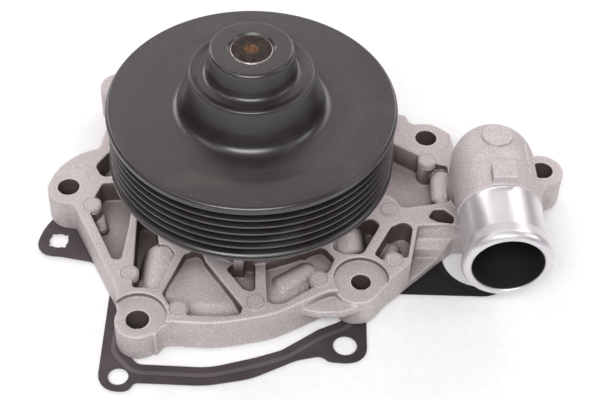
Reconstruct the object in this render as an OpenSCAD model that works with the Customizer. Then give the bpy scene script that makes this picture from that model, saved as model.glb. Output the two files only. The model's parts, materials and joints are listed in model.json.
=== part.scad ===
// Belt-driven coolant pump for a car engine, lying on its mounting gasket.
// Millimetres. Z runs up the pump shaft, X and Y are 0 on the shaft axis, and
// Z is 0 on the underside of the gasket, where it meets the engine block.

/* [Casting] */
// Height of the cast flange from its machined face to the ear tops
flange_height = 15.5; // [14:0.5:18]
// Depth of the spot faces round the two front bolt holes
spot_depth = 2.5; // [1:0.5:3]
// Radius of the clearance holes for the mounting bolts
bolt_hole_r = 4.45; // [4.2:0.05:4.8]
// Radius of the bolt hole below the pulley's edge
low_hole_r = 3.85; // [3.6:0.05:4.2]
// Radius of the raised ejector marks
mark_r = 3.7; // [3:0.1:4]

/* [Hose elbow] */
// Outer radius of the cast elbow
elbow_r = 16.5; // [16:0.1:18]
// Radius of the water way through the elbow and the hose tube
water_way_r = 13.5; // [12:0.1:14]
// Outer radius of the turned hose tube
tube_r = 16.2; // [15.8:0.1:16.6]
// Outer radius of the bead that holds the hose
bead_r = 17.4; // [17:0.1:18]
// Height of the hose tube's axis above the ear tops
elbow_rise = 14; // [12:0.5:18]

/* [Pulley] */
// Outer radius of the pulley's two flanges
pulley_r = 53.8; // [52:0.1:56]
// Distance between neighbouring belt grooves
groove_pitch = 3.56; // [3.5:0.01:3.6]
// Number of belt grooves
groove_count = 6; // [4:1:7]
// Depth of a belt groove
groove_depth = 2.9; // [2.4:0.1:3.2]
// Height of the pulley's top face above the ear tops
pulley_top = 61.5; // [60:0.5:64]
// Height of the pulley's nose above the ear tops
nose_top = 87.7; // [85:0.1:90]
// Thickness of the pulley's disc
disc_t = 4; // [3:0.5:5]

/* [Shaft and bearing] */
// Radius of the pump shaft
shaft_r = 7.96; // [7.9:0.01:8]
// Outer radius of the bearing
bearing_r = 15; // [15:0.1:16]
// Length of the bearing's outer ring
bearing_len = 39; // [38:1:40]
// Radius of a bearing ball
ball_r = 2.78; // [2.7:0.01:2.8]
// Number of bearing balls
ball_count = 10; // [8:1:10]
// Radius of a bearing roller
roller_r = 2.25; // [2:0.05:2.3]
// Length of a bearing roller
roller_len = 9; // [8:0.5:10]
// Number of bearing rollers
roller_count = 12; // [10:1:12]

/* [Water side] */
// Outer radius of the impeller
impeller_r = 32; // [30:0.5:33]
// Number of impeller vanes
vane_count = 7; // [5:1:8]
// Radius of the bore that takes the shaft seal
seal_bore_r = 18; // [17.5:0.1:18.5]

/* [Gasket] */
// Thickness of the gasket sheet
sheet_t = 0.5; // [0.4:0.05:0.6]
// Height of the bead pressed into the sheet
sheet_bead = 0.25; // [0.1:0.05:0.3]
// Angle by which the loose gasket lies turned out of register
gasket_turn = 2.6; // [0:0.1:2.6]

/* [Hidden] */
$fn = 96;
eps = 0.5;

// Levels
rear_z = 0.8;
top_z = rear_z + flange_height;
spot_z = top_z - spot_depth;
roof_z = 8.8;
shallow_roof_z = 3.3;
floor_z = top_z - 4.5;
moat_z = top_z - 10;
deep_z = top_z - 11;
web_z = top_z - 12;
tower_top_z = 71.5;
seal_shelf_z = 24;
bearing_z = 31;
elbow_z = top_z + elbow_rise;
disc_top_z = top_z + pulley_top;
nose_z = top_z + nose_top;

// Bolt holes: x, y, radius of the ear
left_ear = [-74.2, 16.2, 8.6];
front_left_ear = [-42.8, -50.5, 8.8];
front_ear = [42.2, -32.2, 8.8];
right_ear = [119.7, 25.5, 8.6];
rear_right_ear = [73.6, 44.6, 8.7];
rear_ear = [8, 76, 8.6];
rear_left_ear = [-57, 77, 8.6];
ears = [left_ear, front_left_ear, front_ear, right_ear, rear_right_ear, rear_ear, rear_left_ear];
front_pad = [40.6, -33.4, 9.4];
front_left_spot_r = 11;
front_spot_r = 10.6;

// Elbow
elbow = [96, 14];
port_rim_r = 19;
cast_front_y = -12;
tube_end_y = -38.6;
tube_stub_r = 15;
tube_stub_len = 6;
bead_from = 6.2;
bead_len = 2.6;
rim_r = 15.6;

// Pulley
rim_low_z = top_z + 34.5;
rim_inner_r = 46.5;
first_groove_z = top_z + 56.8;
groove_tip = 0.7;
groove_root = 0.9;
hub_relief_r = 12;
hub_relief_z = 80;
nose_r = 15.2;
shoulder_r = 22.9;
shoulder_z = top_z + 77.3;
cone_r = 29;
shaft_low_z = 2;
shaft_end_z = nose_z - 0.4;

// Bearing
ball_pitch_r = shaft_r + ball_r - 0.4;
race_gap = 0.08;
ring_bore_r = 12.4;
ball_z = bearing_z + 9;
roller_z = bearing_z + 27;
roller_pitch_r = shaft_r + race_gap + roller_r;
lip_gap = 0.08;

// Seal and impeller
plate_t = 1.2;
impeller_top_z = roof_z - 0.5;
vane_low_z = 1.8;
impeller_hub_r = 12;
cup_top_z = 11.2;
seat_top_z = 12;
face_gap = 0.03;
casing_t = 1;
casing_z = 11;
casing_top_z = seal_shelf_z - 1;
spring_r = 15.4;
wire_r = 0.6;
spring_turns = 3.5;

// Gasket: its holes, and the point about which it turns into register with the housing
gasket_hole_r = 3.9;
gasket_wide_hole_r = 4.6;
port_hole_r = water_way_r + 1.3;
gasket_pole = [-412, 98.7];

// ---- Outlines -------------------------------------------------------------

function unit(v) = v / norm(v);
function xy(p) = [p[0], p[1]];

// Points of the arc that rounds the corner p between its neighbours a and b
function corner(a, p, b, r, steps = 5) =
    let (u = unit(a - p), v = unit(b - p))
    let (half = acos(u * v) / 2)
    let (centre = p + unit(u + v) * r / sin(half))
    let (from = p + u * r / tan(half) - centre, to = p + v * r / tan(half) - centre)
    let (start = atan2(from[1], from[0]))
    let (sweep = ((atan2(to[1], to[0]) - start + 540) % 360) - 180)
    [for (i = [0:steps]) centre + r * [cos(start + sweep * i / steps), sin(start + sweep * i / steps)]];

// Outline through points given as x, y and corner radius
function rounded(points) =
    let (n = len(points))
    [for (i = [0:n - 1]) each points[i][2] == 0 ? [xy(points[i])]
        : corner(xy(points[(i + n - 1) % n]), xy(points[i]), xy(points[(i + 1) % n]), points[i][2])];

// Points along an arc about c
function arc(c, r, from, to, steps = 8) =
    [for (i = [0:steps]) let (a = from + (to - from) * i / steps) [c[0] + r * cos(a), c[1] + r * sin(a), 0]];

casting_outline = rounded(concat(
    [[-51.4, -45, 4], [-51, -38.5, 10], [-71.6, 7, 3], [-82.8, 7.6, 8.4]],
    arc([-57.5, 14], 25.2, 174, 104),
    [[-62.6, 42, 0], [-61.2, 51, 6], [-57, 60, 6], [-57.6, 68.6, 2], [-62, 77, 2], [-57, 84.4, 3], [-50, 84, 4],
    [-46, 78, 4], [-2, 77, 3], [-0.6, 84.6, 6], [16.6, 84.6, 7], [19, 75, 8], [59, 60, 10],
    [66.6, 58.6, 2.5], [67, 52.6, 3.5], [76, 53.6, 8], [83.6, 48, 8], [85, 40, 6], [84, 20, 0],
    [86, -6.4, 0], [80.6, -6.6, 1.5], [53.4, -32.6, 3], [44.6, -41.6, 3], [31, -37.6, 10],
    [22.5, -42.4, 14], [8, -50.4, 40], [-14, -54.6, 50], [-33, -53.2, 5], [-36, -58, 0]]));

// Pockets open to the top: outline, then the height of the floor
left_pocket = rounded([[-64.4, 2, 1], [-54, -22.2, 1.5], [-50.6, -23, 1.5], [-48.6, -6, 4],
    [-47.6, 12, 4], [-50, 19, 3], [-60.6, 18.4, 2], [-63.4, 10, 1]]);
upper_left_pocket = rounded([[-64.2, 28.4, 3], [-59, 36.6, 3], [-47, 38, 4], [-45, 25, 4], [-61, 21.8, 3]]);
slot_pocket = rounded([[-45.4, -36.8, 1.5], [-37.6, -36.8, 1.5], [-35.4, -20, 6], [-38.4, 0, 5], [-45.4, 4, 2.5]]);
bulge_pocket = rounded([[-41, -36.8, 1], [-35.6, -37.4, 1.5], [-29.6, -19.6, 2], [-33, -15, 3], [-41, -15, 1]]);
front_pocket = rounded([[-33.8, -39.6, 1.5], [-30.4, -46.6, 1], [-24, -50.2, 2], [-12, -50.8, 20],
    [-4.2, -50, 1.5], [-3.2, -46.6, 1.5], [-17.8, -23.4, 1.5], [-20, -17, 3], [-26, -20, 2]]);
vee_pocket = rounded([[-9.4, -27.6, 1], [-3, -37.6, 3], [1.4, -39.2, 1.5], [1.4, -24.6, 1], [-4, -22, 3]]);
right_front_pocket = rounded([[5.6, -24.6, 1], [6, -44.6, 2.5], [12, -44.6, 3], [24, -36.4, 3], [30, -28.4, 3],
    [32.4, -22.4, 2], [28, -16, 3], [14, -22, 3]]);
dome_pocket = rounded([[32, -17.4, 2], [36, -20, 4], [43.4, -20, 3], [51.4, -4.4, 2.5], [48, -1, 2], [33, -8, 3]]);
window = rounded([[48, -20, 1.5], [55.6, -5.6, 3], [61.6, -2.4, 3], [64, -6.4, 2], [61, -21.6, 1.5], [51, -23, 2]]);
elbow_notch = rounded([[70.6, -0.6, 1.5], [73.2, 3.4, 2], [77.4, 3.6, 1.5], [81, -0.4, 1], [80.4, -4, 1], [74.4, -3, 2]]);
right_pocket = rounded([[57.4, 43, 3], [69.4, 34.4, 4], [75.6, 29.6, 2], [81, 28, 1], [81, 8.6, 1], [73, 6.6, 2],
    [60, 4.4, 3], [57.6, 12, 6], [47, 12, 5], [44, 34, 8]]);
rear_left_pocket = rounded([[-52, 44, 4], [-31, 33, 3], [-12, 46, 4], [-14, 70, 4], [-44, 71, 4], [-52, 61, 5]]);
rear_pocket = rounded([[-6, 47, 4], [8, 45, 4], [13, 62, 4], [2, 68, 3], [-7, 66, 3]]);
rear_right_pocket = rounded([[15, 44, 4], [32, 35, 3], [44, 42, 3], [54, 53, 4], [46, 59, 4], [22, 67, 4], [19, 60, 3]]);
web_area = rounded([[66.4, -4.6, 2], [79.6, -4.4, 1], [84, -6.4, 0], [62.4, -30, 0], [62, -24, 0]]);

// The edge of the pumping chamber, which the gasket follows too
chamber_outline = rounded([[-42, -38, 3], [-36, -44.6, 4], [-9, -45, 30], [8, -39.6, 30], [18, -35.6, 10],
    [32, -25, 4], [41.6, -20, 5], [43.6, -8, 5], [52, 3, 4], [68, 4, 6], [74.6, 14, 6], [72, 30, 6],
    [63, 36, 8], [58, 48, 8], [18, 64, 10], [-40, 68, 10], [-53.6, 56, 8], [-54, 32, 8], [-46, 12, 8], [-42, 4, 8]]);

gasket_outline = rounded(concat(
    [[-50.4, -57.2, 7.6], [-38.4, -57.2, 4], [-36.6, -53, 2.4], [-10, -53.2, 40], [7, -49.2, 30], [24, -39.8, 16],
    [33, -37.4, 4], [36, -40, 4], [42, -40.4, 6], [50.6, -39.4, 7], [50.4, -12, 5], [58, -5.6, 4],
    [99, -5.2, 12], [113.4, 3, 12], [114.6, 18.6, 3], [124.7, 18.6, 5], [124.7, 32.2, 5], [110, 32.2, 6],
    [97, 33.6, 14], [84, 34, 5], [81.8, 52.8, 8], [66, 53, 6], [58, 58, 5], [19, 74, 6], [16, 84.2, 7.6],
    [0, 84.2, 6.6], [-3, 76, 5], [-48, 78, 3], [-51, 83, 5], [-63, 83, 6], [-63, 68, 5], [-58.6, 54, 8]],
    arc([-57.5, 14], 24.8, 106, 170),
    [[-83.6, 8.4, 6.6], [-72, 7.8, 8], [-60, 5.6, 3], [-50.4, 1, 4]]));

// ---- Small helpers --------------------------------------------------------

module slab(outline, from, to) {
    translate([0, 0, from]) linear_extrude(to - from) polygon(outline);
}

module rod(p, r, from, to) {
    translate([p[0], p[1], from]) cylinder(r = r, h = to - from);
}

module ring_at(p, outer, inner, from, to) {
    difference() {
        rod(p, outer, from, to);
        rod(p, inner, from - eps, to + eps);
    }
}

module ring(outer, inner, from, to) {
    ring_at([0, 0], outer, inner, from, to);
}

// Round bar with chamfered ends that runs a little past two points
module capsule(a, b, r) {
    span = b - a;
    length = norm(span);
    translate(a) rotate([0, acos(span[2] / length), atan2(span[1], span[0])]) rotate_extrude()
        polygon([[0, -0.8 * r], [0.6 * r, -0.8 * r], [r, -0.2 * r], [r, length + 0.2 * r],
            [0.6 * r, length + 0.8 * r], [0, length + 0.8 * r]]);
}

// Prism with its outline in the Y-Z plane, running along X
module prism_x(outline, from, to) {
    translate([from, 0, 0]) rotate([90, 0, 90]) linear_extrude(to - from) polygon(outline);
}

// ---- Casting --------------------------------------------------------------

// The seven ears and the flat rim between them
module flange_solid() {
    slab(casting_outline, rear_z, top_z);
    for (ear = ears) rod(ear, ear[2], rear_z, top_z);
    rod(front_pad, front_pad[2], rear_z, spot_z);
    rod(elbow, port_rim_r, rear_z, top_z);
    slab([[104, 31.5], [119.7, 33.6], [126, 20], [121, 17], [113, 5]], rear_z, top_z);
    front_lip();
}

// Ledge that stands out below the rim beside the front ear
module front_lip() {
    lip = rounded([[16.4, -43.4, 1], [25, -46, 12], [35, -45.8, 12], [45.4, -41.2, 1], [40, -34, 0], [22, -36, 0]]);
    slab(lip, top_z - 7.8, top_z - 4);
}

module pockets() {
    slab(left_pocket, deep_z, top_z + eps);
    slab(upper_left_pocket, deep_z, top_z + eps);
    slab(slot_pocket, deep_z, top_z + eps);
    slab(bulge_pocket, moat_z, top_z + eps);
    slab(front_pocket, floor_z, top_z + eps);
    slab(vee_pocket, floor_z, top_z + eps);
    slab(right_front_pocket, floor_z, top_z + eps);
    slab(dome_pocket, moat_z, top_z + eps);
    slab(window, deep_z, top_z + eps);
    slab(elbow_notch, rear_z + 2, top_z + eps);
    slab(right_pocket, deep_z, top_z + eps);
    for (outline = [rear_left_pocket, rear_pocket, rear_right_pocket]) slab(outline, floor_z, top_z + eps);
    moats();
    web_steps();
}

// The front pockets fall away towards the rim
module moats() {
    slope = [[-41, floor_z + 0.01], [-45, floor_z - 1.6], [-52, floor_z - 1.6], [-52, floor_z + 0.01]];
    intersection() {
        slab(front_pocket, floor_z - 2, floor_z + 1);
        prism_x(slope, -34, -3);
    }
    intersection() {
        slab(right_front_pocket, floor_z - 2, floor_z + 1);
        translate([14, -38, 0]) rotate([0, 0, 27]) prism_x([[2.4, floor_z + 0.01], [-2, floor_z - 1.4],
            [-9, floor_z - 1.4], [-9, floor_z + 0.01]], -14, 16);
    }
}

// The web between the window's rib and the elbow steps down to its outer edge
module web_steps() {
    steps = [[-3.4, top_z + eps], [-4, top_z - 1], [-6.4, top_z - 6.4], [-10, top_z - 8.4], [-12, web_z],
        [-34, web_z], [-34, top_z + eps]];
    intersection() {
        slab(web_area, web_z - 1, top_z + 1);
        prism_x(steps, 60, 86);
    }
}

// Rounded lumps of the pumping chamber's wall that show in the pockets
module bulges() {
    intersection() {
        translate([-80, -50, rear_z + 1.2]) cube([180, 90, 30]);
        bulge_bars();
    }
}

module bulge_bars() {
    capsule([-35.4, -34, 3.6], [-32.8, -16, 4.6], 10.2);
    capsule([37.4, -13, 5], [36.6, -4, 5.6], 9);
    capsule([53.8, -19.6, moat_z + 1.6], [56, -10, moat_z - 0.6], 3.6);
    capsule([12, -32, floor_z - 4.4], [22, -25.4, floor_z - 4.4], 6.4);
    capsule([78, 13, moat_z + 4], [78.6, 25, moat_z + 4], 4.6);
    capsule([-61.6, 5.6, moat_z + 2], [-60.4, 1, moat_z], 2.8);
}

// Raised round marks left by the ejector pins
module ejector_marks() {
    marks = [[-64, 6], [-47, -30], [-27.5, -47.6], [1.6, -44.6], [26, -33], [55.5, -23.5], [55.5, 3.5], [73, 31]];
    for (mark = marks) rod(mark, mark_r, deep_z - 1, top_z + 0.35);
}

module bearing_tower() {
    rotate_extrude() polygon([[0, top_z - 6], [25.6, top_z - 6], [25.4, 20], [24, 30],
        [21.5, 52], [20, 60], [20, tower_top_z - 1], [19, tower_top_z], [0, tower_top_z]]);
    for (i = [0:5]) rotate([0, 0, 60 * i + 20]) translate([0, 2, 0]) rotate([90, 0, 0])
        linear_extrude(4) polygon([[16, top_z - 4], [29, top_z - 4], [28.6, 20], [23.6, 44], [16, 44]]);
}

// Cast elbow: an upright pipe with a domed end that turns towards the front
module elbow_solid() {
    rod(elbow, elbow_r, rear_z, elbow_z);
    translate([elbow[0], elbow[1], elbow_z]) sphere(elbow_r);
    translate([elbow[0], elbow[1], elbow_z]) rotate([90, 0, 0]) cylinder(r = elbow_r, h = elbow[1] - cast_front_y);
    rod(elbow, 5.8, elbow_z + elbow_r - 4, elbow_z + elbow_r + 0.9);
    translate([elbow[0] - 4.6, cast_front_y + 0.8, elbow_z + 8]) cube([9, 7.6, 11.8]);
}

module elbow_way() {
    translate([elbow[0], elbow[1], 0]) rotate_extrude() polygon([[0, rear_z - eps], [water_way_r, rear_z - eps],
        [water_way_r, elbow_z + 4], [8, elbow_z + 11.6], [0, elbow_z + 11.6]]);
    translate([elbow[0], elbow[1], elbow_z]) rotate([90, 0, 0]) cylinder(r = water_way_r - 0.7, h = 40);
    translate([elbow[0], cast_front_y + tube_stub_len, elbow_z]) rotate([90, 0, 0])
        cylinder(r = tube_stub_r, h = tube_stub_len + eps);
}

module spot_faces() {
    rod(front_left_ear, front_left_spot_r, spot_z, top_z + 2);
    rod(front_ear, front_spot_r, spot_z, top_z + 2);
}

module bolt_holes() {
    for (ear = ears) rod(ear, ear == front_ear ? low_hole_r : bolt_hole_r, rear_z - eps, top_z + eps);
}

module chamber() {
    slab(chamber_outline, rear_z - eps, shallow_roof_z);
    rod([0, 0], impeller_r + 2.5, rear_z - eps, roof_z);
    rod([0, 18], 38, rear_z - eps, roof_z);
    rod([0, 0], seal_bore_r, roof_z - eps, seal_shelf_z);
    rod([0, 0], 13, seal_shelf_z - eps, bearing_z);
    rod([0, 0], bearing_r, bearing_z, tower_top_z + eps);
    translate([0, 0, 27.5]) rotate([90, 0, 0]) cylinder(r = 2, h = 60);
}

module pump_housing() {
    color("#b9b2ae") difference() {
        union() {
            difference() {
                flange_solid();
                pockets();
            }
            bulges();
            ejector_marks();
            bearing_tower();
            elbow_solid();
        }
        chamber();
        elbow_way();
        spot_faces();
        bolt_holes();
    }
}

module hose_tube() {
    color("#d4d4d8") translate([elbow[0], 0, elbow_z]) rotate([90, 0, 0]) rotate_extrude()
        polygon([[water_way_r, -cast_front_y - tube_stub_len], [tube_stub_r, -cast_front_y - tube_stub_len],
            [tube_stub_r, -cast_front_y], [tube_r, -cast_front_y], [tube_r, -tube_end_y - bead_from - 2.8],
            [bead_r, -tube_end_y - bead_from], [bead_r, bead_len - tube_end_y - bead_from],
            [bead_r - 0.5, -tube_end_y - 1.8], [rim_r, -tube_end_y], [water_way_r + 0.6, -tube_end_y],
            [water_way_r, -tube_end_y - 0.6]]);
}

// ---- Bearing --------------------------------------------------------------

module bearing_outer_ring() {
    color("#9a9ca0") difference() {
        ring(bearing_r, ring_bore_r, bearing_z, bearing_z + bearing_len);
        translate([0, 0, ball_z]) rotate_extrude() translate([ball_pitch_r, 0]) circle(ball_r + race_gap);
        rod([0, 0], roller_pitch_r + roller_r + race_gap, roller_z - roller_len / 2 - 0.5, roller_z + roller_len / 2 + 0.5);
    }
}

module bearing_lip(from) {
    ring(ring_bore_r, shaft_r + lip_gap, from, from + 1.4);
}

module bearing_front_seal() {
    color("#2b2b2b") bearing_lip(bearing_z + bearing_len - 1.9);
}

module bearing_rear_seal() {
    color("#2b2b2b") bearing_lip(bearing_z + 0.5);
}

module bearing_balls() {
    color("#c8ccd0") for (i = [0:ball_count - 1]) rotate([0, 0, 360 * i / ball_count])
        translate([ball_pitch_r, 0, ball_z]) sphere(ball_r);
}

module ball_cage() {
    color("#c9a227") difference() {
        ring(ball_pitch_r + 0.8, ball_pitch_r - 0.8, ball_z - 3.4, ball_z + 3.4);
        for (i = [0:ball_count - 1]) rotate([0, 0, 360 * i / ball_count])
            translate([ball_pitch_r, 0, ball_z]) sphere(ball_r + 0.08);
    }
}

module bearing_rollers() {
    color("#c8ccd0") for (i = [0:roller_count - 1]) rotate([0, 0, 360 * i / roller_count])
        translate([roller_pitch_r, 0, roller_z - roller_len / 2]) cylinder(r = roller_r, h = roller_len);
}

module roller_cage() {
    color("#c9a227") difference() {
        ring(roller_pitch_r + 0.7, roller_pitch_r - 0.7, roller_z - roller_len / 2 - 1.8, roller_z + roller_len / 2 + 1.8);
        for (i = [0:roller_count - 1]) rotate([0, 0, 360 * i / roller_count])
            translate([roller_pitch_r, 0, roller_z - roller_len / 2 - 0.1]) cylinder(r = roller_r + 0.06, h = roller_len + 0.2);
    }
}

// ---- Shaft and pulley -----------------------------------------------------

module pump_shaft() {
    color("#8b5a3c") difference() {
        rotate_extrude() polygon([[0, shaft_low_z], [shaft_r - 0.8, shaft_low_z],
            [shaft_r, shaft_low_z + 0.8], [shaft_r, shaft_end_z - 1], [shaft_r - 1, shaft_end_z], [2.2, shaft_end_z],
            [0, shaft_end_z - 2.2]]);
        translate([0, 0, ball_z]) rotate_extrude() translate([ball_pitch_r, 0]) circle(ball_r + race_gap);
    }
}

// Half outline of the pulley: the outside with its grooves, then the inside
function groove_points() = [for (i = [0:groove_count - 1]) let (z = first_groove_z - i * groove_pitch)
    each [[pulley_r - 0.6, z + groove_pitch / 2 - groove_tip / 2], [pulley_r - 0.6 - groove_depth, z + groove_root / 2],
        [pulley_r - 0.6 - groove_depth, z - groove_root / 2], [pulley_r - 0.6, z - groove_pitch / 2 + groove_tip / 2]]];

module pulley() {
    color("#5c5658") rotate_extrude($fn = 180) polygon(concat(
        [[shaft_r, nose_z - 0.5], [shaft_r + 1, nose_z], [nose_r - 1.6, nose_z], [nose_r - 0.5, nose_z - 0.5],
        [nose_r, nose_z - 1.6], [nose_r + 0.6, shoulder_z + 3.4], [nose_r + 2, shoulder_z + 1.4], [nose_r + 4, shoulder_z + 0.6],
        [shoulder_r - 1.2, shoulder_z], [shoulder_r - 0.3, shoulder_z - 0.5], [shoulder_r, shoulder_z - 1.4],
        [shoulder_r + 1.4, shoulder_z - 7], [cone_r - 3, disc_top_z + 4], [cone_r, disc_top_z + 1.6],
        [cone_r + 3.4, disc_top_z + 0.5], [cone_r + 7, disc_top_z], [pulley_r - 1.4, disc_top_z], [pulley_r - 0.4, disc_top_z - 0.4],
        [pulley_r, disc_top_z - 1.4], [pulley_r, first_groove_z + groove_pitch / 2 + 0.4]],
        groove_points(),
        [[pulley_r, first_groove_z - groove_pitch * (groove_count - 0.5)], [pulley_r, rim_low_z + 0.6],
        [pulley_r - 0.6, rim_low_z], [rim_inner_r + 0.6, rim_low_z], [rim_inner_r, rim_low_z + 0.6],
        [rim_inner_r, disc_top_z - disc_t - 4], [rim_inner_r - 4, disc_top_z - disc_t],
        [hub_relief_r, disc_top_z - disc_t], [hub_relief_r, hub_relief_z], [shaft_r, hub_relief_z]]));
}

// ---- Water side -----------------------------------------------------------

module slinger() {
    color("#9a9ca0") rotate_extrude() polygon([[shaft_r, 25.4], [9.4, 25.4], [12, 26.6], [12, 27.4], [9.2, 26.8], [9.2, 29],
        [shaft_r, 29]]);
}

module seal_casing() {
    color("#b08d3f") rotate_extrude() polygon([[seal_bore_r, casing_z], [seal_bore_r, casing_top_z + 1], [10, casing_top_z + 1],
        [10, casing_top_z], [seal_bore_r - casing_t, casing_top_z], [seal_bore_r - casing_t, casing_z]]);
}

module seal_bellows() {
    color("#1f1f1f") rotate_extrude() polygon([[10.2, 15.2], [12.4, 15.2], [12.4, 16.6], [11.6, 17.6], [12.6, 19], [12.4, 21],
        [14, 22.2], [14, casing_top_z], [10.2, casing_top_z], [10.2, 21.6], [11.2, 20.4], [11.4, 19], [10.4, 17.4]]);
}

// Open coil with a square-cut end at the top and bottom
module seal_spring() {
    low = 16.4;
    rise = casing_top_z - wire_r - 0.1 - low;
    sides = 8;
    turn_steps = 20;
    rings = turn_steps * spring_turns;
    points = [for (i = [0:rings]) let (a = 360 * i / turn_steps, z = low + rise * i / rings)
        for (j = [0:sides - 1]) let (b = 360 * j / sides, r = spring_r + wire_r * cos(b))
        [r * cos(a), r * sin(a), z + wire_r * sin(b)]];
    walls = [for (i = [0:rings - 1]) for (j = [0:sides - 1])
        [i * sides + j, i * sides + (j + 1) % sides, (i + 1) * sides + (j + 1) % sides, (i + 1) * sides + j]];
    caps = [[for (j = [sides - 1:-1:0]) j], [for (j = [0:sides - 1]) rings * sides + j]];
    color("#b8bcc0") polyhedron(points, concat(walls, caps));
}

module seal_spring_plate() {
    color("#b08d3f") ring(16.6, 12.5, 14.8, 15.7);
}

module seal_carbon_ring() {
    color("#2f3033") rotate_extrude() polygon([[9.6, seat_top_z + face_gap], [11.6, seat_top_z + face_gap],
        [11.6, 13.4], [12.4, 13.4], [12.4, 15.2], [9.6, 15.2]]);
}

module seal_seat_cup() {
    color("#1f1f1f") rotate_extrude() polygon([[shaft_r, impeller_top_z], [14.4, impeller_top_z], [14.4, cup_top_z],
        [13.2, cup_top_z], [13.2, impeller_top_z + 1], [9.2, impeller_top_z + 1], [9.2, cup_top_z], [shaft_r, cup_top_z]]);
}

module seal_seat_ring() {
    color("#e4e0d6") ring(13.2, 9.2, impeller_top_z + 1, seat_top_z);
}

module impeller() {
    color("#8f9296") {
        ring(impeller_r, impeller_hub_r, impeller_top_z - plate_t, impeller_top_z);
        for (i = [0:vane_count - 1]) rotate([0, 0, 360 * i / vane_count]) vane();
    }
}

// One vane: a thin wall that curves back as it runs outwards
module vane() {
    curve_r = 22;
    centre = [14, -curve_r + 3];
    translate([0, 0, vane_low_z]) intersection() {
        difference() {
            translate([centre[0], centre[1], 0]) cylinder(r = curve_r, h = impeller_top_z - vane_low_z - plate_t / 2);
            translate([centre[0], centre[1], -eps]) cylinder(r = curve_r - 1.2, h = impeller_top_z);
        }
        linear_extrude(impeller_top_z - vane_low_z - plate_t / 2) polygon([[13, 6], [14, 0.5], [30.4, -8], [31, 2]]);
    }
}

module impeller_hub() {
    color("#8f9296") ring(impeller_hub_r, shaft_r, vane_low_z + 0.4, impeller_top_z);
}

// ---- Gasket ---------------------------------------------------------------

// Pressed bead, half way across the sealing strip and round the water port
module gasket_bead() {
    difference() {
        linear_extrude(sheet_bead) offset(r = 4.9) polygon(chamber_outline);
        translate([0, 0, -eps]) linear_extrude(sheet_bead + 2 * eps) offset(r = 3.1) polygon(chamber_outline);
        rod(elbow, port_hole_r + 2, -eps, sheet_bead + eps);
    }
    ring_at(elbow, port_hole_r + 2.6, port_hole_r + 1, 0, sheet_bead);
}

module gasket_sheet() {
    difference() {
        slab(gasket_outline, 0, sheet_t);
        slab(chamber_outline, -eps, sheet_t + eps);
        rod(elbow, port_hole_r, -eps, sheet_t + eps);
        for (ear = ears) rod(ear, ear == front_ear ? gasket_wide_hole_r : gasket_hole_r, -eps, sheet_t + eps);
        for (i = [0:3]) translate(xy(left_ear)) rotate(90 * i + 40) rod([gasket_hole_r, 0], 0.8, -eps, sheet_t + eps);
    }
}

module gasket() {
    color("#554b50") translate(gasket_pole) rotate([0, 0, -gasket_turn]) translate(-gasket_pole)
        union() {
            gasket_sheet();
            translate([0, 0, sheet_t]) gasket_bead();
        }
}

pump_housing();
hose_tube();
bearing_outer_ring();
bearing_front_seal();
bearing_rear_seal();
seal_casing();
seal_bellows();
seal_spring();
seal_spring_plate();
seal_carbon_ring();
pump_shaft();
pulley();
slinger();
seal_seat_cup();
seal_seat_ring();
impeller();
impeller_hub();
bearing_balls();
ball_cage();
bearing_rollers();
roller_cage();
gasket();
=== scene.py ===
"""Car water pump lying on its gasket: finishes, cast and turned detail, lights and camera.

Blender works in metres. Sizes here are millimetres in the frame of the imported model, where Z runs
up the pump shaft, X = Y = 0 is the shaft axis and Z = 0 is the underside of the gasket.
"""

import json
import math

import bmesh
import bpy
import numpy as np
from mathutils import Matrix, Vector


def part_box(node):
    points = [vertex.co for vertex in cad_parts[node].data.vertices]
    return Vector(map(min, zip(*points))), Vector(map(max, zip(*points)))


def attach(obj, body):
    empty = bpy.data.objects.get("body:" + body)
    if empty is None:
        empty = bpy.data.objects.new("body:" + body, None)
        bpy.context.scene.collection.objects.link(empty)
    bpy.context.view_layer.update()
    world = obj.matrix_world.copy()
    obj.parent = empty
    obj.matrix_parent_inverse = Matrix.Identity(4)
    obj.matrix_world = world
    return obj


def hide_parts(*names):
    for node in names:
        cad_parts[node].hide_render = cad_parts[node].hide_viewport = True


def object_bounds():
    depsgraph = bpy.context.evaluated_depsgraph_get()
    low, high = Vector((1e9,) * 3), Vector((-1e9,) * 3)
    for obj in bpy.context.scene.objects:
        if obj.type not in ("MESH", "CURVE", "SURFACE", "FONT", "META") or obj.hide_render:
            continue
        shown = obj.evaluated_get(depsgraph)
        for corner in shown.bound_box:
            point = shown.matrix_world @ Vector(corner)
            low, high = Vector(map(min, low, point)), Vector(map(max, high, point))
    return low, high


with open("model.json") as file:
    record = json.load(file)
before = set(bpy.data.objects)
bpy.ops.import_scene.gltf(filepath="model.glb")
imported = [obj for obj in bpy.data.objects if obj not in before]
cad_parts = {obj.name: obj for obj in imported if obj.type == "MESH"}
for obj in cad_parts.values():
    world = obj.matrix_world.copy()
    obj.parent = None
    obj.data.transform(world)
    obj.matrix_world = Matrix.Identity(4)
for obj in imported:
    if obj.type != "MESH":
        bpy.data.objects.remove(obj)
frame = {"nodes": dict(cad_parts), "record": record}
cad_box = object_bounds()
nodes = frame["nodes"]
bolt_holes = [m for m in frame["record"]["mounts"] if m["name"].startswith("bolt_hole")]

MM = 0.001

# ---- Sizes ------------------------------------------------------------------


def box_mm(node):
    """The low and high corners of a node's box, in millimetres."""
    low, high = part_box(node)
    return Vector(low) / MM, Vector(high) / MM


pulley_low, pulley_high = box_mm("pulley")
tube_low, tube_high = box_mm("hose_tube")
shaft_low, shaft_high = box_mm("pump_shaft")

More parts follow.
